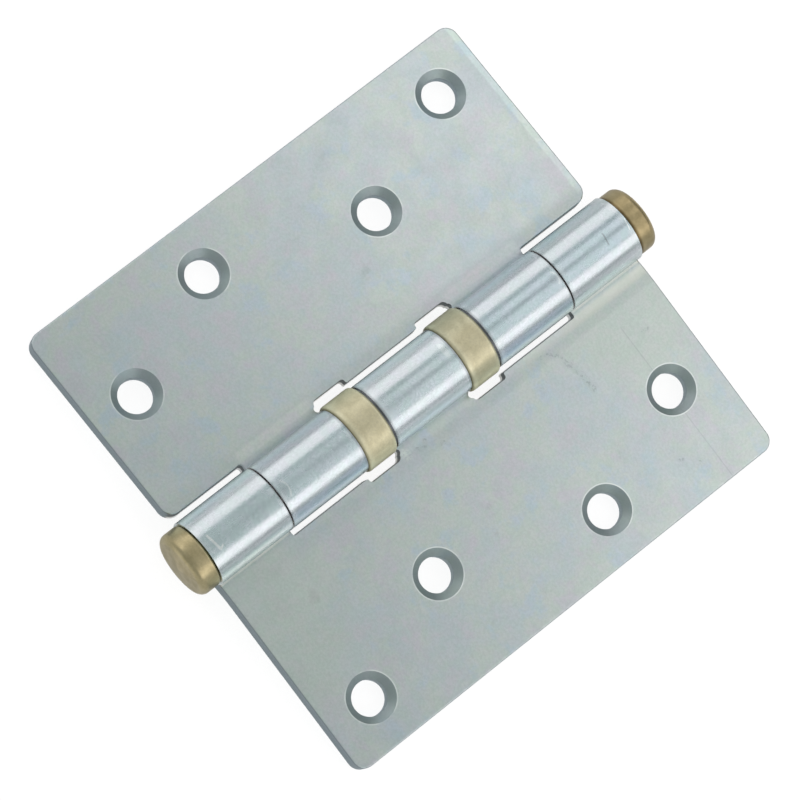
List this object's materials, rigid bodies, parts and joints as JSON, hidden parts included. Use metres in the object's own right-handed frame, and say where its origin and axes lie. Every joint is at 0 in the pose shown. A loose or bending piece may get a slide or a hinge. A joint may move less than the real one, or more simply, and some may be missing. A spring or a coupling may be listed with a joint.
{
  "type": "ball bearing hinge",
  "caption": "Butt hinge of rolled sheet steel with interleaved knuckles, round-edged thrust bearings, domed end caps and staggered countersunk holes.",
  "frame": {"origin": "middle of the pin's axis, halfway up the hinge", "axes": "+Y along the pin to the upper end, +X across the frame leaf, +Z out of the countersunk faces; each leaf droops below the XY plane as it lies open on a table"},
  "size_m": [0.087, 0.0972, 0.0128],
  "materials": {
    "zinc_plated_steel": "zinc plated, fine satin grain",
    "pin_steel": "bright drawn",
    "cap_brass": "dull plated",
    "shell_brass": "satin plated",
    "race_steel": "hardened and ground",
    "ball_steel": "polished",
    "cage_brass": "stamped"
  },
  "bodies": {
    "frame_side": {"frame_leaf": "zinc_plated_steel", "hinge_pin": "pin_steel", "lower_end_cap": "cap_brass", "upper_end_cap": "cap_brass", "lower_bearing_upper_race": "race_steel", "upper_bearing_shell": "shell_brass", "upper_bearing_lower_race": "race_steel"},
    "door_side": {"door_leaf": "zinc_plated_steel", "lower_bearing_shell": "shell_brass", "lower_bearing_lower_race": "race_steel", "upper_bearing_upper_race": "race_steel"},
    "lower_ball_set": {"lower_bearing_cage": "cage_brass", "lower_bearing_ball_01": "ball_steel", "lower_bearing_ball_02": "ball_steel", "lower_bearing_ball_03": "ball_steel", "lower_bearing_ball_04": "ball_steel", "lower_bearing_ball_05": "ball_steel", "lower_bearing_ball_06": "ball_steel", "lower_bearing_ball_07": "ball_steel", "lower_bearing_ball_08": "ball_steel", "lower_bearing_ball_09": "ball_steel", "lower_bearing_ball_10": "ball_steel"},
    "upper_ball_set": {"upper_bearing_cage": "cage_brass", "upper_bearing_ball_01": "ball_steel", "upper_bearing_ball_02": "ball_steel", "upper_bearing_ball_03": "ball_steel", "upper_bearing_ball_04": "ball_steel", "upper_bearing_ball_05": "ball_steel", "upper_bearing_ball_06": "ball_steel", "upper_bearing_ball_07": "ball_steel", "upper_bearing_ball_08": "ball_steel", "upper_bearing_ball_09": "ball_steel", "upper_bearing_ball_10": "ball_steel"}
  },
  "joints": [
    {"name": "leaf_swing", "type": "hinge", "parent": "frame_side", "child": "door_side", "pos_m": [0, 0, 0], "axis": [0, 1, 0], "range_deg": [-112.51, 187.49]},
    {"name": "lower_balls_roll", "type": "hinge", "parent": "frame_side", "child": "lower_ball_set", "pos_m": [0, -0.01095, 0], "axis": [0, 1, 0], "range_deg": [-56.26, 93.75]},
    {"name": "upper_balls_roll", "type": "hinge", "parent": "frame_side", "child": "upper_ball_set", "pos_m": [0, 0.01095, 0], "axis": [0, 1, 0], "range_deg": [-56.26, 93.75]}
  ],
  "couplings": [
    {"joint": "lower_balls_roll", "follows": "leaf_swing", "ratio": 0.5},
    {"joint": "upper_balls_roll", "follows": "leaf_swing", "ratio": 0.5}
  ]
}
